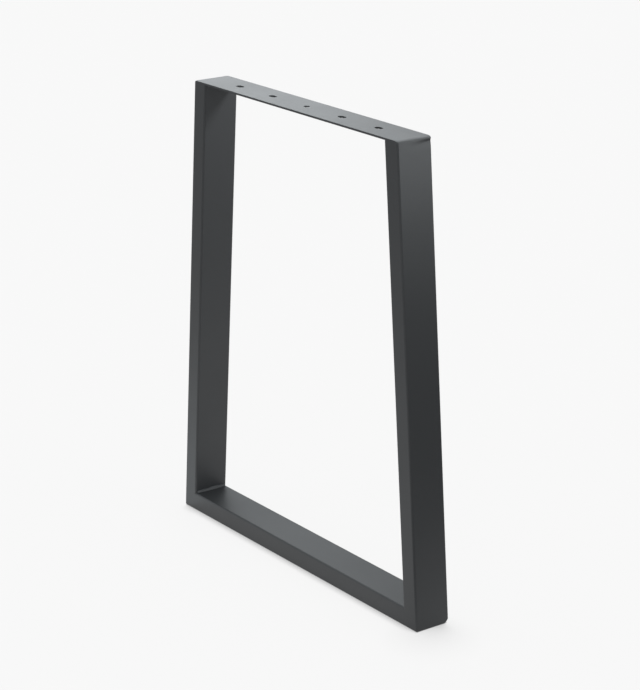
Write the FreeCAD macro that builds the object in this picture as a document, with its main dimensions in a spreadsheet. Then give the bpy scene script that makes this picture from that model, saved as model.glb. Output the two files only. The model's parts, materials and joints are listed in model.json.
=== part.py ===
# Welded steel table leg: a trapezoid frame of rectangular tube under a slotted fixing plate.
# Millimetres. X runs along the frame, Y through its depth, Z up from the floor under its middle.
import FreeCAD, Part
import math
import os
import Sketcher
from FreeCAD import Placement, Rotation, Vector

doc = FreeCAD.newDocument("table_leg")

# Driving dimensions
driving_sizes = {
    "leg_height": 720,           # floor to the top of the plate
    "foot_width": 616,           # outside of the frame along the floor
    "top_width": 508,            # outside of the frame under the plate, and the plate's length
    "tube_depth": 60,            # tube section through the frame, and the plate's width
    "tube_breadth": 30,          # tube section in the plane of the frame
    "tube_wall": 2,
    "tube_outer_radius": 3,
    "tube_inner_radius": 1,
    "plate_thickness": 3,
    "plate_corner_radius": 3,    # seen from above
    "plate_end_radius": 2.7,     # top edge of each end, ground over its weld, within the thickness
    "mitre_edge_radius": 3,      # outer foot edges, ground over their welds
    "hole_pitch": 86.5,          # along the plate, from the middle hole outwards
    "slot_width": 9,
    "slot_length": 15,
    "middle_hole_diameter": 9,
    "weld_leg": 4,
    "weld_face_radius": 6,       # crown of the weld bead
}

sheet = doc.addObject("Spreadsheet::Sheet", "Sizes")
for row, (alias, value) in enumerate(driving_sizes.items(), start=1):
    sheet.set(f"A{row}", alias)
    sheet.set(f"B{row}", str(value))
    sheet.setAlias(f"B{row}", alias)
doc.recompute()

# Lengths and angles that several pieces share
depth = "Sizes.tube_depth"
breadth = "Sizes.tube_breadth"
half_foot = "(Sizes.foot_width / 2)"
half_top = "(Sizes.top_width / 2)"
plate_seat = "(Sizes.leg_height - Sizes.plate_thickness)"
lean = f"atan(({half_foot} - {half_top}) / {plate_seat})"
half_corner = f"(45 deg - {lean} / 2)"
mitre_slope = f"(1 / tan({half_corner}))"
overcut = breadth


def value_of(expression):
    return float(sheet.evalExpression(expression))


def flat_point(place):
    return Vector(value_of(place[0]), value_of(place[1]), 0)


def origin_plane(body, role):
    return next(feature for feature in body.Origin.OriginFeatures if feature.Role == role)


def new_body(label):
    body = doc.addObject("PartDesign::Body", label)
    body.Label = label
    return body


def new_sketch(body, role, name):
    sketch = body.newObject("Sketcher::SketchObject", name)
    sketch.AttachmentSupport = [(origin_plane(body, role), "")]
    sketch.MapMode = "FlatFace"
    return sketch


def bind(sketch, name, constraint, expression):
    sketch.renameConstraint(sketch.addConstraint(constraint), name)
    sketch.setExpression(f"Constraints.{name}", expression)


def pin(sketch, name, geometry, vertex, place):
    # Holds one vertex at its two distances from the sketch's origin
    for kind, expression in zip(("DistanceX", "DistanceY"), place):
        constraint = Sketcher.Constraint(kind, -1, 1, geometry, vertex, value_of(expression))
        bind(sketch, f"{name}_{kind}", constraint, expression)


def join(sketch, kind, first, second):
    sketch.addConstraint(Sketcher.Constraint(kind, *first, *second))


def arc_about(centre, radius, start, end):
    # Runs counterclockwise from start to end
    angles = [math.atan2(point.y - centre.y, point.x - centre.x) for point in (start, end)]
    if angles[1] < angles[0]:
        angles[1] += 2 * math.pi
    return Part.ArcOfCircle(Part.Circle(centre, Vector(0, 0, 1), radius), *angles)


def rounded_loop(sketch, name, centres, radius):
    # Arcs of one radius about the centres, counterclockwise, joined by tangent straight sides
    points = [flat_point(centre) for centre in centres]
    reach = value_of(radius)
    shifts = []
    for point, following in zip(points, points[1:] + points[:1]):
        way = following - point
        shifts.append(Vector(way.y, -way.x, 0).normalize() * reach)
    arcs = []
    sides = []
    for index, point in enumerate(points):
        arc = arc_about(point, reach, point + shifts[index - 1], point + shifts[index])
        following = points[(index + 1) % len(points)]
        arcs.append(sketch.addGeometry(arc))
        sides.append(sketch.addGeometry(Part.LineSegment(point + shifts[index], following + shifts[index])))
    for index, arc in enumerate(arcs):
        join(sketch, "Tangent", (sides[index - 1], 2), (arc, 1))
        join(sketch, "Tangent", (arc, 2), (sides[index], 1))
        pin(sketch, f"{name}_{index}", arc, 3, centres[index])
        if index:
            join(sketch, "Equal", (arcs[0],), (arc,))
    bind(sketch, f"{name}_radius", Sketcher.Constraint("Radius", arcs[0], reach), radius)


def profile(sketch, corners, radius=None, centre_side=0):
    # Straight sides through the corners. The last side back to the first corner is straight too, or an
    # arc whose centre lies to the left (1) or right (-1) of it.
    points = [flat_point(corner) for corner in corners]
    sides = []
    for index, start in enumerate(points[:-1]):
        side = sketch.addGeometry(Part.LineSegment(start, points[index + 1]))
        if sides:
            join(sketch, "Coincident", (sides[-1], 2), (side, 1))
        pin(sketch, f"corner_{index}", side, 1, corners[index])
        sides.append(side)
    pin(sketch, "corner_last", sides[-1], 2, corners[-1])
    first_end = (points[-1], (sides[-1], 2))
    second_end = (points[0], (sides[0], 1))
    if radius is None:
        closing = sketch.addGeometry(Part.LineSegment(first_end[0], second_end[0]))
    else:
        reach = value_of(radius)
        half_chord = (second_end[0] - first_end[0]) / 2
        across = Vector(-half_chord.y, half_chord.x, 0).normalize() * centre_side
        centre = first_end[0] + half_chord + across * math.sqrt(reach ** 2 - half_chord.Length ** 2)
        if centre_side < 0:
            first_end, second_end = second_end, first_end
        closing = sketch.addGeometry(arc_about(centre, reach, first_end[0], second_end[0]))
        bind(sketch, "arc_radius", Sketcher.Constraint("Radius", closing, reach), radius)
    join(sketch, "Coincident", (closing, 1), first_end[1])
    join(sketch, "Coincident", (closing, 2), second_end[1])


def pad(body, sketch, length, symmetric=False):
    feature = body.newObject("PartDesign::Pad", f"{sketch.Name}_pad")
    feature.Profile = sketch
    feature.SideType = "Symmetric" if symmetric else "One side"
    feature.setExpression("Length", length)
    doc.recompute()


def cut_through(body, sketch):
    feature = body.newObject("PartDesign::Pocket", f"{sketch.Name}_cut")
    feature.Profile = sketch
    feature.SideType = "Symmetric"
    feature.Type = "ThroughAll"
    doc.recompute()
    return feature


def mirror_cut(body, cut, role):
    mirrored = body.newObject("PartDesign::Mirrored", f"{cut.Name}_mirrored")
    mirrored.Originals = [cut]
    mirrored.MirrorPlane = (origin_plane(body, role), [""])
    body.Tip = mirrored
    doc.recompute()


def rectangle_centres(middle, length, width, radius):
    # Corner arc centres of a rounded rectangle that is centred on the sketch's first axis
    along = f"({length} / 2 - {radius})"
    across = f"({width} / 2 - {radius})"
    return [(f"{middle} + {x} * {along}", f"{y} * {across}") for x, y in ((-1, -1), (1, -1), (1, 1), (-1, 1))]


def tube(label, length, symmetric=False):
    # Rectangular hollow section along the body's own Z, with its outer face on X = 0
    body = new_body(label)
    section = new_sketch(body, "XY_Plane", f"{label}_section")
    outer_radius = "Sizes.tube_outer_radius"
    inner_radius = "Sizes.tube_inner_radius"
    middle = f"-{breadth} / 2"
    hollow_breadth = f"({breadth} - 2 * Sizes.tube_wall)"
    hollow_depth = f"({depth} - 2 * Sizes.tube_wall)"
    rounded_loop(section, "outside", rectangle_centres(middle, breadth, depth, outer_radius), outer_radius)
    rounded_loop(section, "inside", rectangle_centres(middle, hollow_breadth, hollow_depth, inner_radius),
                 inner_radius)
    pad(body, section, length, symmetric)
    return body


def mitre(body, corner, way):
    # Cuts a tube's end along the line through the frame's outer and inner corners, and rounds its outer
    # edge. corner is the outer corner on the tube's axis, way (1 or -1) leads from it down the tube.
    radius = "Sizes.mitre_edge_radius"
    tip = f"({radius} * (1 / sin({half_corner}) - 1))"
    tangent_length = f"{radius} * {mitre_slope}"
    far_side = f"({breadth} + {overcut})"
    along_and_across = [
        (f"{tip} * cos({half_corner})", f"{tip} * sin({half_corner})"),
        (f"{far_side} * {mitre_slope}", far_side),
        (f"-{overcut}", far_side),
        (f"-{overcut}", f"-{overcut}"),
        (tangent_length, f"-{overcut}"),
        (tangent_length, "0"),
    ]
    corners = [(f"-({across})", f"{corner} + {way} * ({along})") for along, across in along_and_across]
    sketch = new_sketch(body, "XZ_Plane", f"{body.Label}_mitre")
    profile(sketch, corners, radius, centre_side=-way)
    return cut_through(body, sketch)


def make_upright():
    # Drawn upright from the outer foot corner, cut to stand under a level plate, then leaned inwards
    outer_length = f"{plate_seat} / cos({lean})"
    upright = tube("right_upright", f"{outer_length} + {overcut}")
    mitre(upright, "0", 1)
    far_side = f"({breadth} + {overcut})"
    top = new_sketch(upright, "XZ_Plane", "right_upright_top")
    profile(top, [
        (overcut, f"{outer_length} - {overcut} * tan({lean})"),
        (overcut, f"{outer_length} + {far_side}"),
        (f"-{far_side}", f"{outer_length} + {far_side}"),
        (f"-{far_side}", f"{outer_length} + {far_side} * tan({lean})"),
    ])
    cut_through(upright, top)
    upright.Placement = Placement(Vector(), Rotation(Vector(0, -1, 0), value_of(lean)))
    upright.setExpression(".Placement.Base.x", half_foot)
    upright.setExpression(".Placement.Rotation.Angle", lean)
    return upright


def make_floor_rail():
    # Turned so that the tube's outer face lies on the floor
    rail = tube("floor_rail", "Sizes.foot_width", symmetric=True)
    mirror_cut(rail, mitre(rail, half_foot, -1), "XY_Plane")
    rail.Placement = Placement(Vector(), Rotation(Vector(0, 1, 0), 90))
    return rail


def make_top_plate():
    plate = new_body("top_plate")
    outline = new_sketch(plate, "XY_Plane", "plate_outline")
    corner_radius = "Sizes.plate_corner_radius"
    rounded_loop(outline, "outline", rectangle_centres("0", "Sizes.top_width", depth, corner_radius),
                 corner_radius)
    pad(plate, outline, "Sizes.plate_thickness")

    diameter = "Sizes.middle_hole_diameter"
    middle_hole = new_sketch(plate, "XY_Plane", "middle_hole")
    circle = middle_hole.addGeometry(Part.Circle(Vector(), Vector(0, 0, 1), value_of(diameter) / 2))
    join(middle_hole, "Coincident", (circle, 3), (-1, 1))
    bind(middle_hole, "diameter", Sketcher.Constraint("Diameter", circle, value_of(diameter)), diameter)
    cut_through(plate, middle_hole)

    slots = new_sketch(plate, "XY_Plane", "slots")
    half_run = "((Sizes.slot_length - Sizes.slot_width) / 2)"
    for number, name in enumerate(("inner", "outer"), start=1):
        ends = [(f"{number} * Sizes.hole_pitch + {side} * {half_run}", "0") for side in (-1, 1)]
        rounded_loop(slots, name, ends, "Sizes.slot_width / 2")
    mirror_cut(plate, cut_through(plate, slots), "YZ_Plane")

    thickness = "Sizes.plate_thickness"
    radius = f"min(Sizes.plate_end_radius; 0.9 * {thickness})"
    ground_end = new_sketch(plate, "XZ_Plane", "ground_end")
    profile(ground_end, [
        (f"{half_top} - {radius}", thickness),
        (f"{half_top} - {radius}", f"{thickness} + {overcut}"),
        (f"{half_top} + {overcut}", f"{thickness} + {overcut}"),
        (f"{half_top} + {overcut}", f"{thickness} - {radius}"),
        (half_top, f"{thickness} - {radius}"),
    ], radius, centre_side=1)
    mirror_cut(plate, cut_through(plate, ground_end), "YZ_Plane")
    plate.setExpression(".Placement.Base.z", plate_seat)
    return plate


def make_weld(label, corner, rise):
    # Bead in an inner corner: one leg level towards the middle, one along the upright's inner face, which
    # leaves the corner upwards (1) or downwards (-1)
    leg = "Sizes.weld_leg"
    across, level = corner
    level_end = (f"{across} - {leg}", level)
    leaning_end = (f"{across} - {rise} * {leg} * sin({lean})", f"{level} + {rise} * {leg} * cos({lean})")
    weld = new_body(label)
    section = new_sketch(weld, "XZ_Plane", f"{label}_section")
    profile(section, [leaning_end, corner, level_end], "Sizes.weld_face_radius", centre_side=-rise)
    pad(weld, section, f"{depth} - 2 * Sizes.tube_outer_radius", symmetric=True)
    return weld


def mirrored_piece(label, source):
    piece = doc.addObject("Part::Mirroring", label)
    piece.Label = label
    piece.Source = source
    piece.Normal = Vector(1, 0, 0)
    return piece


right_upright = make_upright()
right_foot_weld = make_weld("right_foot_weld", (f"{half_foot} - {breadth} * {mitre_slope}", breadth), 1)
right_head_weld = make_weld("right_head_weld", (f"{half_top} - {breadth} / cos({lean})", plate_seat), -1)
pieces = [
    make_floor_rail(),
    make_top_plate(),
    right_upright,
    mirrored_piece("left_upright", right_upright),
    right_foot_weld,
    mirrored_piece("left_foot_weld", right_foot_weld),
    right_head_weld,
    mirrored_piece("left_head_weld", right_head_weld),
]
doc.recompute()

for item in doc.Objects:
    if "Invalid" in item.State or "Error" in item.State:
        raise RuntimeError(f"{item.Label} failed to rebuild")
for cut in doc.findObjects("PartDesign::Pocket"):
    if cut.Shape.Volume >= cut.BaseFeature.Shape.Volume:
        raise RuntimeError(f"{cut.Label} takes nothing away")
for piece in pieces:
    if piece.Shape.isNull() or not piece.Shape.isValid() or len(piece.Shape.Solids) != 1:
        raise RuntimeError(f"{piece.Label} is not one valid solid")

os.makedirs("parts", exist_ok=True)
for piece in pieces:
    piece.Shape.exportStep(f"parts/{piece.Label}.step")
    print(piece.Label, round(piece.Shape.Volume, 1), "mm3")
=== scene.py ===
import json
import math
import bmesh
import bpy
from mathutils import Matrix, Vector, noise


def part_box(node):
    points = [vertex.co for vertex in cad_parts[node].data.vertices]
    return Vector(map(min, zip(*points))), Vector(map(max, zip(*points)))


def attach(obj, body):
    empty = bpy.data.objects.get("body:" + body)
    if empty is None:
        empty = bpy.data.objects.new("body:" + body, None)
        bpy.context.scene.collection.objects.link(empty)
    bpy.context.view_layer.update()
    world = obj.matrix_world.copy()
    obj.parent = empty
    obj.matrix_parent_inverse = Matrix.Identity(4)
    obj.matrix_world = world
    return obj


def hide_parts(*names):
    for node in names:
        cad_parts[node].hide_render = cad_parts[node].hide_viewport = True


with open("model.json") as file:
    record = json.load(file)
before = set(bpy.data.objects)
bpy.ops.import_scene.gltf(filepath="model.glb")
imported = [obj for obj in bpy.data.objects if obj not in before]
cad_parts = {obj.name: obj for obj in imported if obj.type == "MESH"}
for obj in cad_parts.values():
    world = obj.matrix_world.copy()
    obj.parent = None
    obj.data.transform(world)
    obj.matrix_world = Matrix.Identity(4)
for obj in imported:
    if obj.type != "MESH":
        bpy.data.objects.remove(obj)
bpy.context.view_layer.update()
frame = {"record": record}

# main lines of the leg, read from the frame
plateLow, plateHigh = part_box("top_plate")
halfTop = plateHigh.x
halfDepth = plateHigh.y
topZ = plateHigh.z
seatZ = plateLow.z              # underside of the plate
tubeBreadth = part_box("floor_rail")[1].z
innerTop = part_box("right_upright")[0].x
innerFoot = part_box("right_foot_weld")[1].x
slope = (innerFoot - innerTop) / (seatZ - tubeBreadth)
slant = math.sqrt(1 + slope * slope)
outerFoot = halfTop + slope * seatZ
mountDims = {mount["name"]: mount["dims"] for mount in frame["record"]["mounts"]}

origin = Vector((0, 0, 0))
alongX = Vector((1, 0, 0))      # from the left upright to the right one
alongY = Vector((0, 1, 0))      # from front to back
alongZ = Vector((0, 0, 1))
millimetre = 0.001
tiny = 1e-6
sharpAngle = math.radians(40)


def say(stage):
    print("leg:", stage)


def clamp(value):
    return min(max(value, 0), 1)


def ease(value):
    value = clamp(value)
    return value * value * (3 - 2 * value)


def blend(ends, share):
    return ends[0] + (ends[1] - ends[0]) * share


def everything(bm):
    return list(bm.verts) + list(bm.edges) + list(bm.faces)


def allWhere(bm, wanted):
    verts = [vert for vert in bm.verts if wanted(vert.co)]
    chosen = set(verts)
    edges = [edge for edge in bm.edges if chosen.issuperset(edge.verts)]
    faces = [face for face in bm.faces if chosen.issuperset(face.verts)]
    return verts + edges + faces


def cutAt(bm, geom, point, normal, **keep):
    bmesh.ops.bisect_plane(bm, geom=geom, dist=tiny, plane_co=point, plane_no=normal, **keep)


def addMesh(name, bm, material):
    mesh = bpy.data.meshes.new(name)
    bm.to_mesh(mesh)
    bm.free()
    mesh.materials.append(material)
    thing = bpy.data.objects.new(name, mesh)
    bpy.context.scene.collection.objects.link(thing)
    return thing


def addPiece(name, bm, material, node):
    for face in bm.faces:
        face.smooth = True
    for edge in bm.edges:
        edge.smooth = edge.calc_face_angle(0) < sharpAngle
    piece = addMesh(name, bm, material)
    weighted = piece.modifiers.new("Weighted normals", "WEIGHTED_NORMAL")   # flats stay flat beside the bends
    weighted.keep_sharp = True
    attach(piece, "root")
    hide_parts(node)
    return piece


# what the floor key and the inner lamp fall on, and what shades the floor from the key
lampGroups = {name: bpy.data.collections.new(name) for name in ("shades", "floor", "left")}


# sums of shader values are written as Python on wires
class Wire:
    def __init__(self, tree, socket=None):
        self.tree = tree
        self.socket = socket

    def make(self, kind, settings=None, sockets=None, output=0):
        made = self.tree.nodes.new(kind)
        for key, value in (settings or {}).items():
            setattr(made, key, value)
        for key, value in (sockets or {}).items():
            if isinstance(value, Wire):
                self.tree.links.new(value.socket, made.inputs[key])
            else:
                made.inputs[key].default_value = value
        return Wire(self.tree, made.outputs[output]) if made.outputs else None

    def maths(self, operation, first, second):
        return self.make("ShaderNodeMath", {"operation": operation}, {0: first, 1: second})

    def __add__(self, other):
        return self.maths("ADD", self, other)

    def __radd__(self, other):
        return self.maths("ADD", other, self)

    def __sub__(self, other):
        return self.maths("SUBTRACT", self, other)

    def __rsub__(self, other):
        return self.maths("SUBTRACT", other, self)

    def __mul__(self, other):
        return self.maths("MULTIPLY", self, other)

    def __rmul__(self, other):
        return self.maths("MULTIPLY", other, self)


def newMaterial(name):
    material = bpy.data.materials.new(name)
    material.use_nodes = True
    material.node_tree.nodes.clear()
    return material, Wire(material.node_tree)


coat = {
    "thin": (0.0330, 0.0346, 0.0366, 1),
    "full": (0.0290, 0.0304, 0.0322, 1),
    "roughness": 0.44,
    "roughnessSpread": 0.05,
    "ior": 1.54,
    "cloud": {"Scale": 14, "Detail": 4},        # slow change in the coat's thickness
    "peel": {"Scale": 420, "Detail": 1.5},      # orange peel, in bumps per metre
    "peelHeight": 0.000012,
    "grain": {"Scale": 2400, "Detail": 2},
    "grainHeight": 0.0000012,
}


def powderCoat():
    material, wire = newMaterial("satin_powder_coat")
    place = wire.make("ShaderNodeTexCoord", output="Object")
    cloud, peel, grain = (wire.make("ShaderNodeTexNoise", None, {"Vector": place, **coat[name]})
                          for name in ("cloud", "peel", "grain"))
    shade = wire.make("ShaderNodeMix", {"data_type": "RGBA"},       # colours are its sockets 6, 7 and 2
                      {"Factor": cloud, 6: coat["thin"], 7: coat["full"]}, output=2)
    roughness = coat["roughness"] + (cloud + grain - 1) * coat["roughnessSpread"]
    orangePeel = wire.make("ShaderNodeBump", None, {"Height": peel, "Distance": coat["peelHeight"]})
    surface = wire.make("ShaderNodeBump", None,
                        {"Height": grain, "Distance": coat["grainHeight"], "Normal": orangePeel})
    paint = wire.make("ShaderNodeBsdfPrincipled", None, {
        "Base Color": shade,
        "Roughness": roughness,
        "IOR": coat["ior"],
        "Normal": surface,
    })
    wire.make("ShaderNodeOutputMaterial", None, {"Surface": paint})
    return material


coatMaterial = powderCoat()
say("powder coat mixed")

# tubes of the frame, made as one bent run and parted at the mitres
tube = {
    "wall": 0.002,
    "bend": 0.003,              # outer corners of the section
    "innerBend": 0.001,
    "bendSteps": 8,
    "dishDepth": 0.00010,       # left by the grinder along each mitre
    "dishReach": 0.014,
    "dishCuts": (0.0012, 0.002, 0.0028, 0.0036, 0.0045, 0.0058, 0.0075, 0.011, 0.015, 0.020),
}
# shape left by the grinder where each end of the plate runs into its upright, pairs from front to back
grind = {
    1: {"drop": (0.0009, 0.0011), "edge": (0.0046, 0.0034), "over": 0.0007, "hollow": 0.0005, "from": 0.25},
    -1: {"drop": (0.0003, 0.0002), "edge": (0.0040, 0.0034), "over": 0, "hollow": 0.0003, "from": 0.60},
    "reach": 0.008,             # length of the plate that falls away to the end
    "hollowStart": 0.0024,      # at the back the end stands over a shallow hollow
    "hollowFall": (0.0115, 0.0042),
    "hollowRise": 0.010,
    "wobble": 0.3,
    "wobblePitch": 0.011,
    "wobbleSeeds": (7.3, 0.5),
    "levels": (0.0008, 0.0016, 0.0025, 0.0035, 0.0048, 0.0062, 0.0078, 0.0096, 0.0114, 0.0133, 0.0154,
               0.0180),         # cuts down the uprights, from the plate
    "plateCuts": (0.0004, 0.0008, 0.0013, 0.0018, 0.0024, 0.0031, 0.0039, 0.0048, 0.0058, 0.0069, 0.0080),
    "stripe": 0.002,            # spacing of the cuts across the depth
    "slack": 0.00005,
}
# the grinder also blunted the back corner of the right foot
blunt = {
    "level": 0.0043,            # below the tip that a sharp corner would have
    "soft": 0.0012,
    "stripes": (0.0225, 0.0240, 0.0252, 0.0262),    # cuts across the depth
    "rings": (0.0058, 0.0072, 0.0100),              # cuts up the mitre
    "boreStep": 0.0015,         # the bore's corner is blunted by this much more
    "boreCuts": (0.009, -0.009),
}


def faceLine(z, inset):         # x of the right upright's outer face, or of a line inside it
    return halfTop + slope * (seatZ - z) - inset * slant


def cornerInset(y):
    bend = tube["bend"]
    over = min(max(abs(y) - (halfDepth - bend), 0), bend)
    return bend - math.sqrt(bend * bend - over * over)


def groundProfile(side, y):
    end = grind[side]
    along = (y + halfDepth) / (2 * halfDepth)
    sideSeed, rowSeed = grind["wobbleSeeds"]
    wander = 1 + grind["wobble"] * noise.noise(Vector((y / grind["wobblePitch"], sideSeed * side, rowSeed)))
    drop = blend(end["drop"], ease(along)) * wander
    edge = blend(end["edge"], ease(along)) * wander
    share = ease((along - end["from"]) / (1 - end["from"]))
    fallLength = blend(grind["hollowFall"], along)
    outline = halfTop - cornerInset(y)

    def limit(z):
        below = topZ - z - grind["hollowStart"]
        fall = (end["over"] + end["hollow"]) * ease(below / fallLength)
        rise = end["hollow"] * ease((below - fallLength) / grind["hollowRise"])
        return faceLine(min(z, seatZ), 0) - cornerInset(y) + (end["over"] - fall + rise) * share

    def sharp(travel):
        if travel < 0:
            near = max(0, 1 + travel / grind["reach"])
            return Vector((outline + travel + (limit(topZ - drop) - outline) * near, topZ - drop * near ** 2))
        z = topZ - travel - drop * max(0, 1 - travel / (topZ - seatZ))
        return Vector((limit(z), z))

    def profile(travel):        # along the top of the plate to its end, then down
        if abs(travel) > edge:
            return sharp(travel)
        turn = (travel / edge + 1) / 2
        start, middle, stop = sharp(-edge), sharp(0), sharp(edge)
        return start.lerp(middle, turn).lerp(middle.lerp(stop, turn), turn)

    return profile


def addSkin(bm, inset, bend):
    right = [
        (faceLine(inset, inset), inset),
        (faceLine(seatZ, inset), seatZ),
        (faceLine(seatZ, tubeBreadth - inset), seatZ),
        (faceLine(tubeBreadth - inset, tubeBreadth - inset), tubeBreadth - inset),
    ]
    outline = right + [(-x, z) for x, z in reversed(right)]
    front = -halfDepth + inset
    start = bm.faces.new([bm.verts.new((x, front, z)) for x, z in outline])
    grown = bmesh.ops.extrude_face_region(bm, geom=[start])["geom"]
    newVerts = [item for item in grown if isinstance(item, bmesh.types.BMVert)]
    bmesh.ops.translate(bm, verts=newVerts, vec=(0, -2 * front, 0))
    bmesh.ops.recalc_face_normals(bm, faces=bm.faces)
    edges = []
    for edge in bm.edges:
        first, second = (vert.co for vert in edge.verts)
        isLong = abs(first.y - second.y) < tiny and min(first.z, second.z) < seatZ - tiny
        isFoot = abs(first.y - second.y) > tiny and max(first.z, second.z) < inset + tiny
        if isLong or isFoot:
            edges.append(edge)
    bmesh.ops.bevel(bm, geom=edges, offset=bend, segments=tube["bendSteps"], profile=0.5,
                    affect="EDGES", material=-1, clamp_overlap=False, loop_slide=True)


def mitrePlane(side):
    corner = Vector((side * outerFoot, 0, 0))
    run = Vector((side * (innerFoot - outerFoot), 0, tubeBreadth))
    return corner, Vector((side * run.z, 0, side * -run.x)).normalized()     # points to the upright


def cutAlongMitre(bm, side, ways):
    corner, normal = mitrePlane(side)
    cutAt(bm, everything(bm), origin, alongX)
    for way in ways:
        half = allWhere(bm, lambda place: side * place.x > -tiny)
        cutAt(bm, half, corner + normal * way, normal)


def dishMitres(bm):
    for side in (1, -1):
        cutAlongMitre(bm, side, [way * cut for cut in tube["dishCuts"] for way in (1, -1)] + [0])
        corner, normal = mitrePlane(side)
        for vert in bm.verts:
            away = abs((vert.co - corner).dot(normal)) / tube["dishReach"]
            if side * vert.co.x > 0 and away < 1:
                vert.co.y -= math.copysign(tube["dishDepth"] * ease(1 - away), vert.co.y) * vert.normal.y ** 2


def stripeFoot(bm):
    corner, normal = mitrePlane(1)
    furthest = tube["dishCuts"][-1] + tiny
    inward = Vector((-normal.z, 0, normal.x))
    cuts = [(Vector((0, y, 0)), alongY) for y in blunt["stripes"]]
    cuts += [(corner + inward * ring, inward) for ring in blunt["rings"]]
    for cut in cuts:
        foot = allWhere(bm, lambda place: place.x > 0 and abs((place - corner).dot(normal)) < furthest)
        cutAt(bm, foot, *cut)


def bluntFoot(bm, level):
    corner, normal = mitrePlane(1)
    tip = corner + Vector((0, halfDepth, 0))
    # out of the corner: down the mitre, and back
    out = Vector((normal.z * math.sqrt(2), 1, -normal.x * math.sqrt(2))).normalized()
    soft = blunt["soft"]
    for vert in bm.verts:
        reach = (vert.co - tip).dot(out) + level + soft
        if reach > 0:
            vert.co += out * (reach / (1 + reach / soft) - reach)


def addBore(bm):
    bore = bmesh.new()
    addSkin(bore, tube["wall"], tube["innerBend"])
    cutAlongMitre(bore, 1, blunt["boreCuts"])       # keeps the blunted faces small and flat
    bluntFoot(bore, blunt["level"] + blunt["boreStep"])
    bmesh.ops.reverse_faces(bore, faces=bore.faces)
    mesh = bpy.data.meshes.new("bore")
    bore.to_mesh(mesh)
    bore.free()
    bm.from_mesh(mesh)
    bpy.data.meshes.remove(mesh)


def grindTops(bm):
    caps = [face for face in bm.faces if all(vert.co.z > seatZ - tiny for vert in face.verts)]
    bmesh.ops.delete(bm, geom=caps, context="FACES_ONLY")
    for level in grind["levels"]:
        cutAt(bm, everything(bm), Vector((0, 0, seatZ - level)), alongZ)
    flat = halfDepth - tube["wall"] - tube["innerBend"]
    count = int(flat / grind["stripe"])
    lowest = seatZ - grind["levels"][-1] - tiny
    for step in range(-count, count + 1):
        top = allWhere(bm, lambda place: place.z > lowest)
        cutAt(bm, top, Vector((0, step * grind["stripe"], 0)), alongY)
    for vert in bm.verts:
        if vert.co.z > lowest:
            side = 1 if vert.co.x > 0 else -1
            x, z = groundProfile(side, vert.co.y)(topZ - vert.co.z)
            skin = faceLine(vert.co.z, 0) - cornerInset(vert.co.y)
            if side * vert.co.x > min(x, skin - grind["slack"]):
                vert.co = Vector((side * x, vert.co.y, z))


def closeCuts(bm):
    loops = {}
    for edge in bm.edges:
        if edge.is_boundary:
            middle = (edge.verts[0].co + edge.verts[1].co) / 2
            loops.setdefault((middle.x > 0, middle.z > seatZ / 2), []).append(edge)
    for edges in loops.values():
        bmesh.ops.bridge_loops(bm, edges=edges)
    bmesh.ops.recalc_face_normals(bm, faces=bm.faces)


def makeTubes():
    run = bmesh.new()
    addSkin(run, 0, tube["bend"])
    dishMitres(run)
    stripeFoot(run)
    bluntFoot(run, blunt["level"])
    addBore(run)
    grindTops(run)
    for node, side in (("floor_rail", 0), ("right_upright", 1), ("left_upright", -1)):
        part = run.copy()
        if side:
            cutAt(part, everything(part), origin, Vector((side, 0, 0)), clear_inner=True)
        for end in (side,) if side else (1, -1):
            corner, normal = mitrePlane(end)
            cutAt(part, everything(part), corner, normal, clear_inner=bool(side), clear_outer=not side)
        closeCuts(part)
        piece = addPiece(node + "_tube", part, coatMaterial, node)
        if node == "floor_rail":
            lampGroups["shades"].objects.link(piece)
        if node == "left_upright":
            lampGroups["left"].objects.link(piece)
    run.free()


makeTubes()
say("tubes bent, mitred and ground")

# fixing plate with its slots
plate = {
    "thickness": topZ - seatZ,
    "cornerRadius": 0.003,
    "cornerSteps": 6,
    "rim": 0.0004,              # rounding of the long edges and the hole rims
    "rimSteps": 3,
    "cell": 0.012,              # half of the square in which each hole is cut
    "cellCuts": 9,
    "cellStep": 0.0015,         # less than a cut is wide, so the ring keeps its order
    "endShares": (0.25, 0.5, 0.75),     # of the thickness, where the ends are cut level
}
holes = [{"centre": 0, "radius": mountDims["centre_hole"]["r_mm"] * millimetre, "stretch": 0}]
for slots in (mountDims["inner_slots"], mountDims["outer_slots"]):
    radius = slots["hole_r_mm"] * millimetre
    stretch = slots["slot_length_mm"] * millimetre / 2 - radius
    for side in (1, -1):
        centre = side * slots["spacing_x_mm"] * millimetre / 2
        holes.append({"centre": centre, "radius": radius, "stretch": stretch})


def cutHole(bm, centre, radius, stretch):
    middle = Vector((centre, 0, topZ))

    def cellFace():
        return min(bm.faces, key=lambda face: (face.calc_center_median() - middle).length)

    bmesh.ops.subdivide_edges(bm, edges=cellFace().edges[:], cuts=plate["cellCuts"])
    bmesh.ops.inset_region(bm, faces=[cellFace()], thickness=plate["cellStep"])
    cell = cellFace()
    for vert in cell.verts:
        spot = (vert.co - middle).normalized() * radius
        if abs(spot.x) > tiny:
            spot.x += math.copysign(stretch, spot.x)
        vert.co = middle + spot
    bmesh.ops.delete(bm, geom=[cell], context="FACES_ONLY")


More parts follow.
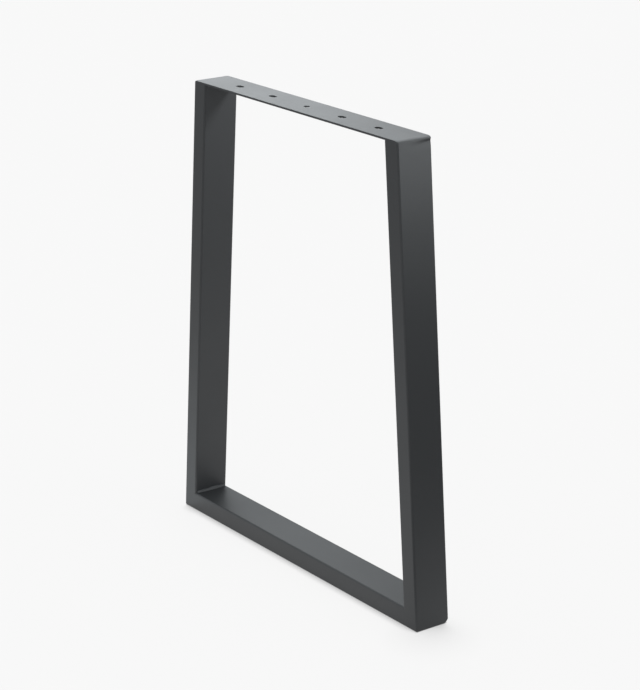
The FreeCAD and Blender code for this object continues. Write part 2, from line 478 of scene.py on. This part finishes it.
def cutStrip(bm):
    place = Matrix.Translation((0, 0, topZ)) @ Matrix.Diagonal((halfTop, halfDepth, 1, 1))
    bmesh.ops.create_grid(bm, x_segments=1, y_segments=1, size=1, matrix=place)
    for way in (plate["cell"], -plate["cell"]):
        cutAt(bm, everything(bm), Vector((0, way, 0)), alongY)
        for hole in holes:
            cutAt(bm, everything(bm), Vector((hole["centre"] + way, 0, 0)), alongX)
    for hole in holes:
        cutHole(bm, **hole)
    corners = [vert for vert in bm.verts
               if abs(vert.co.x) > halfTop - tiny and abs(vert.co.y) > halfDepth - tiny]
    bmesh.ops.bevel(bm, geom=corners, offset=plate["cornerRadius"], segments=plate["cornerSteps"],
                    profile=0.5, affect="VERTICES", material=-1)
    bmesh.ops.recalc_face_normals(bm, faces=bm.faces)
    bmesh.ops.solidify(bm, geom=bm.faces[:], thickness=plate["thickness"])
    bmesh.ops.recalc_face_normals(bm, faces=bm.faces)


def roundRims(bm):
    rims = []
    for edge in bm.edges:
        middle = (edge.verts[0].co + edge.verts[1].co) / 2
        isHole = abs(middle.y) < plate["cell"] - tiny and abs(middle.x) < halfTop - plate["cell"]
        if edge.calc_face_angle(0) > sharpAngle and (isHole or middle.z > topZ - tiny):
            rims.append(edge)
    bmesh.ops.bevel(bm, geom=rims, offset=plate["rim"], segments=plate["rimSteps"], profile=0.5,
                    affect="EDGES", material=-1, clamp_overlap=True)


def moveToGround(vert, side):
    profile = groundProfile(side, vert.co.y)
    outline = halfTop - cornerInset(vert.co.y)
    inset = outline - side * vert.co.x
    depth = topZ - vert.co.z
    if min(inset, depth) < grind["slack"] or max(inset, depth) < plate["rim"] + grind["slack"]:
        x, z = profile(depth - inset)
    else:
        top = profile(-inset) - Vector((outline - inset, topZ))
        low = (profile(plate["thickness"]) - Vector((outline, seatZ))) * max(0, 1 - inset / grind["reach"])
        move = top.lerp(low, depth / plate["thickness"])
        x, z = outline - inset + move.x, vert.co.z + move.y
    vert.co = Vector((side * x, vert.co.y, z))


def grindEnd(bm, side):
    for cut in reversed(grind["plateCuts"]):
        cutAt(bm, everything(bm), Vector((side * (halfTop - cut), 0, 0)), alongX)
    inside = halfTop - grind["plateCuts"][-1] - tiny
    count = int((halfDepth - plate["cornerRadius"]) / grind["stripe"])
    cuts = [(Vector((0, step * grind["stripe"], 0)), alongY) for step in range(-count, count + 1)]
    cuts += [(Vector((0, 0, seatZ + share * plate["thickness"])), alongZ) for share in plate["endShares"]]
    for cut in cuts:
        end = allWhere(bm, lambda place: side * place.x > inside)
        cutAt(bm, end, *cut)
    for vert in bm.verts:
        if side * vert.co.x > inside:
            moveToGround(vert, side)


def makePlate():
    bm = bmesh.new()
    cutStrip(bm)
    roundRims(bm)
    for side in (1, -1):
        grindEnd(bm, side)
    addPiece("top_plate_strip", bm, coatMaterial, "top_plate")


makePlate()
say("plate cut and slotted")

# fillet welds in the inner corners
bead = {
    "length": 0.054,
    "leg": 0.0036,
    "legSpread": 0.0008,        # how far the toes wander
    "wanderPitch": 0.016,
    "bulge": 0.0004,
    "ripple": 0.00012,
    "ripplePitch": 0.0019,
    "ripplesBow": 0.55,         # the ripples bow forward in the middle of the bead
    "sink": 0.0003,
    "around": 22,
    "steps": 110,
    "openTurn": math.radians(115),
    "endTaper": 0.004,
    "endSize": 0.35,            # share of the full size left at the ends
    "footClimb": 0.0008,        # a foot weld climbs the upright by this much more
    "climbAt": 0.006,
    "climbLength": 0.012,
    "footSeed": 0.4,
    "headSeed": 5.4,
    "toeSeed": 3.1,
}


def makeBead(node, corner, first, second, seed, climb):
    bm = bmesh.new()
    bmesh.ops.create_cone(bm, cap_ends=True, segments=bead["around"], radius1=1, radius2=1, depth=1)
    for step in range(1, bead["steps"]):
        cutAt(bm, everything(bm), Vector((0, 0, step / bead["steps"] - 0.5)), alongZ)
    outward = (first + second).normalized()
    for vert in bm.verts:
        turn = math.atan2(vert.co.y, vert.co.x)
        y = vert.co.z * bead["length"]
        fromEnd = clamp((bead["length"] / 2 - abs(y)) / bead["endTaper"])
        taper = bead["endSize"] + (1 - bead["endSize"]) * math.sqrt(1 - (1 - fromEnd) ** 2)
        lift = climb * math.exp(-((y - bead["climbAt"]) / bead["climbLength"]) ** 2)
        legs = []
        for which in (0, 1):
            wander = noise.noise(Vector((y / bead["wanderPitch"], seed, bead["toeSeed"] * which)))
            legs.append((bead["leg"] + bead["legSpread"] * wander + (lift if which else 0)) * taper)
        toes = first * legs[0], second * legs[1]
        if abs(turn) < bead["openTurn"]:
            across = (turn / bead["openTurn"] + 1) / 2
            crown = 4 * across * (1 - across)
            phase = y / bead["ripplePitch"] - bead["ripplesBow"] * crown
            height = (bead["bulge"] + bead["ripple"] * math.sin(2 * math.pi * phase)) * crown * taper
            place = toes[0].lerp(toes[1], across) + outward * height
        else:
            inward = (abs(turn) - bead["openTurn"]) / (math.pi - bead["openTurn"])
            place = toes[turn > 0].lerp(origin, inward) - outward * bead["sink"] * (1 + inward)
        vert.co = corner + place + Vector((0, y, 0))
    if bm.calc_volume(signed=True) < 0:
        bmesh.ops.reverse_faces(bm, faces=bm.faces)
    addPiece(node + "_bead", bm, coatMaterial, node)


def makeBeads():
    for number, (name, side) in enumerate((("right", 1), ("left", -1))):
        inward = Vector((-side, 0, 0))
        uphill = Vector((-side * slope, 0, 1)) / slant
        foot = Vector((side * innerFoot, 0, tubeBreadth))
        head = Vector((side * innerTop, 0, seatZ))
        makeBead(name + "_foot_weld", foot, inward, uphill, number + bead["footSeed"], bead["footClimb"])
        makeBead(name + "_head_weld", head, inward, -uphill, number + bead["headSeed"], 0)


makeBeads()
say("welds laid")

# camera at the photograph's place
camera = {
    "azimuth": 53.972,
    "elevation": 18.337,
    "roll": -0.207,
    "distance": 3.4888,
    "target": (0.070249, -0.028769, 0.376954),
    "focalPixels": 2361.2,
    "imageHeight": 690,
    "sensor": 36,
    "clipEnd": 200,
}


def placeCamera():
    data = bpy.data.cameras.new("camera")
    data.sensor_width = camera["sensor"]
    data.lens = camera["focalPixels"] / camera["imageHeight"] * camera["sensor"]
    data.clip_end = camera["clipEnd"]
    eye = bpy.data.objects.new("camera", data)
    bpy.context.scene.collection.objects.link(eye)
    around = math.radians(camera["azimuth"])
    above = math.radians(camera["elevation"])
    back = Vector((math.sin(around) * math.cos(above), -math.cos(around) * math.cos(above), math.sin(above)))
    right = Vector((math.cos(around), math.sin(around), 0))
    up = back.cross(right)
    roll = math.radians(camera["roll"])
    rolledRight = right * math.cos(roll) + up * math.sin(roll)
    rolledUp = up * math.cos(roll) - right * math.sin(roll)
    eye.matrix_world = Matrix((rolledRight, rolledUp, back)).transposed().to_4x4()
    eye.location = Vector(camera["target"]) + back * camera["distance"]
    bpy.context.scene.camera = eye


placeCamera()
say("camera placed")

# pale floor and soft studio light
studio = {
    "floorSize": 30,
    "floorShade": (0.0911, 0.0904, 0.0900, 1),
    "floorGlow": 0.4857,        # the floor is a light table, so shadows stay faint
    "domeShade": (0.93, 0.975, 1.0, 1),
    "domeStrength": 0.88,
}
# painted shade in the reflections: a dark sheet over the floor, seen only in the gloss
dimFloor = {
    "level": 0.02,
    "least": 0.24,              # share of the floor that it hides everywhere
    "height": 0.0005,
    "front": (-0.25, -0.8),     # where it starts to hide more towards the front, and over what way
    "frontShare": 0.69,
    "frontLeft": (-0.28, -0.35),        # and only on the camera's left
    "near": (0.26, 0.33),       # the same towards the camera
    "nearRight": (-0.10, 0.16),         # and only on the camera's right
    "rightWay": (0.77, 0.56),   # the camera's view, mirrored in the outer face of the right upright
}
floorKey = {"from": (-0.24, 0.16, 1), "strength": 13.64, "angle": 34}       # falls on the floor only
# above and behind the plate, which shades the top of the left upright from it
innerLamp = {"at": (0, 0.205, 0.915), "power": 8.0, "radius": 0.04}
# hidden blocks inside the feet, which deepen the shadows there
stubs = {
    1: {"length": 0.026, "height": 0.22, "depth": (0.003, 0.025)},
    -1: {"length": 0.026, "height": 0.04, "depth": (-0.028, 0.028)},
    "inset": 0.002,
}
# painted reflections: bright panels and dark flags that show only in the gloss
frameMiddle = (0, 0, seatZ / 2)
plateEnd = (halfTop, 0, topZ)
panels = {
    "back_left_panel": {"at": (-0.96, 0.375, 1.03), "size": (0.82, 0.54), "level": 2.83,
                        "faces": frameMiddle},
    "rail_panel": {"at": (-0.96, 0.38, 0.45), "size": (0.68, 0.36), "level": 1.18, "faces": frameMiddle},
    "right_panel": {"at": (0.65, 0.27, 0.68), "size": (0.42, 0.20), "level": 3.1, "faces": frameMiddle},
    "right_flag": {"at": (0.673, 0.215, 0.265), "size": (0.54, 0.54), "level": 0.02, "faces": frameMiddle},
    "overhead_panel": {"at": (-0.1, 0.95, 1.85), "size": (2.2, 1.2), "level": 1.0, "faces": frameMiddle},
    "end_back_panel": {"at": (-0.008, 0.218, 0.932), "size": (0.17, 0.13), "level": 2.35, "faces": plateEnd},
    "end_panel": {"at": (0.207, 0.18, 0.985), "size": (0.375, 0.15), "level": 3.2, "faces": plateEnd},
    "end_side_panel": {"at": (0.452, 0.17, 0.875), "size": (0.15, 0.15), "level": 2.6, "faces": plateEnd},
    "left_floor_panel": {"at": (-0.57, -0.2, 0.001), "size": (0.55, 0.33), "level": 1.13,
                         "faces": (-0.57, -0.2, 1)},
    "back_floor_flag": {"at": (1.05, 1.0, 0.001), "size": (1.3, 1.3), "level": 0.03, "faces": (1.05, 1.0, 1)},
}


def addStage(name, bm, material):
    thing = addMesh(name, bm, material)
    return thing


def showOnlyInGloss(thing):
    thing.visible_camera = False
    thing.visible_diffuse = False
    thing.visible_transmission = False
    thing.visible_volume_scatter = False
    thing.visible_shadow = False


def addFloor():
    bm = bmesh.new()
    bmesh.ops.create_grid(bm, x_segments=1, y_segments=1, size=studio["floorSize"])
    material, wire = newMaterial("pale_floor")
    matt = wire.make("ShaderNodeBsdfDiffuse", None, {"Color": studio["floorShade"]})
    glow = wire.make("ShaderNodeEmission", None, {"Strength": studio["floorGlow"]})
    both = wire.make("ShaderNodeAddShader", None, {0: matt, 1: glow})
    wire.make("ShaderNodeOutputMaterial", None, {"Surface": both})
    lampGroups["floor"].objects.link(addStage("floor", bm, material))


def addDimFloor():
    bm = bmesh.new()
    bmesh.ops.create_grid(bm, x_segments=1, y_segments=1, size=studio["floorSize"],
                          matrix=Matrix.Translation((0, 0, dimFloor["height"])))
    material, wire = newMaterial("painted_gloss_shade")
    spot = wire.make("ShaderNodeTexCoord", output="Object")
    split = wire.make("ShaderNodeSeparateXYZ", None, {"Vector": spot})
    x, y = (Wire(wire.tree, split.socket.node.outputs[axis]) for axis in "XY")
    toRight = x * dimFloor["rightWay"][0] + y * dimFloor["rightWay"][1]

    def fade(name, place):
        start, depth = dimFloor[name]
        return wire.make("ShaderNodeClamp", None, {"Value": (place - start) * (1 / depth)})

    front = fade("front", y) * dimFloor["frontShare"] * fade("frontLeft", toRight)
    near = fade("near", x - y) * fade("nearRight", toRight)
    share = 1 - (1 - wire.maths("MAXIMUM", front, near)) * (1 - dimFloor["least"])
    clear = wire.make("ShaderNodeBsdfTransparent")
    # painted shade: darkens the floor only where the coat reflects it
    dim = wire.make("ShaderNodeEmission", None, {"Strength": dimFloor["level"]})
    mixed = wire.make("ShaderNodeMixShader", None, {0: share, 1: clear, 2: dim})
    wire.make("ShaderNodeOutputMaterial", None, {"Surface": mixed})
    showOnlyInGloss(addStage("gloss_shade_sheet", bm, material))


def addStubs():
    for side in (1, -1):
        bm = bmesh.new()
        stub = stubs[side]
        front, back = stub["depth"]
        x = side * (outerFoot - stubs["inset"] - stub["length"] / 2)
        centre = Vector((x, (front + back) / 2, stub["height"] / 2))
        size = Vector((stub["length"], back - front, stub["height"], 1))
        bmesh.ops.create_cube(bm, size=1, matrix=Matrix.Translation(centre) @ Matrix.Diagonal(size))
        for vert in bm.verts:
            vert.co.x -= side * slope * vert.co.z       # leans with the upright and stays inside it
        thing = addStage("foot_shade", bm, coatMaterial)
        showOnlyInGloss(thing)
        thing.visible_glossy = False
        thing.visible_shadow = True
        lampGroups["shades"].objects.link(thing)


def addPanels():
    for name, panel in panels.items():
        at = Vector(panel["at"])
        facing = (Vector(panel["faces"]) - at).to_track_quat("Z", "Y").to_matrix().to_4x4()
        bm = bmesh.new()
        wide, tall = panel["size"]
        place = Matrix.Translation(at) @ facing @ Matrix.Diagonal((wide, tall, 1, 1))
        bmesh.ops.create_grid(bm, x_segments=1, y_segments=1, size=0.5, matrix=place)
        material, wire = newMaterial(name)
        # painted reflection: a glowing card seen only in the gloss
        glow = wire.make("ShaderNodeEmission", None,
                         {"Strength": panel["level"], "Color": studio["domeShade"]})
        wire.make("ShaderNodeOutputMaterial", None, {"Surface": glow})
        showOnlyInGloss(addStage(name, bm, material))


def addDome():
    world = bpy.data.worlds.new("studio")
    bpy.context.scene.world = world
    world.use_nodes = True
    world.node_tree.nodes.clear()
    wire = Wire(world.node_tree)
    dome = wire.make("ShaderNodeBackground", None,
                     {"Color": studio["domeShade"], "Strength": studio["domeStrength"]})
    wire.make("ShaderNodeOutputWorld", None, {"Surface": dome})


def addLamp(name, kind, power, receivers):
    data = bpy.data.lights.new(name, kind)
    data.energy = power
    lamp = bpy.data.objects.new(name, data)
    bpy.context.scene.collection.objects.link(lamp)
    lamp.visible_glossy = False
    lamp.light_linking.receiver_collection = receivers
    return lamp


def addLamps():
    key = addLamp("floor_key", "SUN", floorKey["strength"], lampGroups["floor"])
    key.data.angle = math.radians(floorKey["angle"])
    key.rotation_mode = "QUATERNION"
    key.rotation_quaternion = Vector(floorKey["from"]).to_track_quat("Z", "Y")
    key.light_linking.blocker_collection = lampGroups["shades"]
    inner = addLamp("inner_lamp", "POINT", innerLamp["power"], lampGroups["left"])
    inner.data.shadow_soft_size = innerLamp["radius"]
    inner.location = innerLamp["at"]


addFloor()
addDimFloor()
addStubs()
addPanels()
addDome()
addLamps()
bpy.context.scene.view_settings.view_transform = "Standard"
say("studio lit")
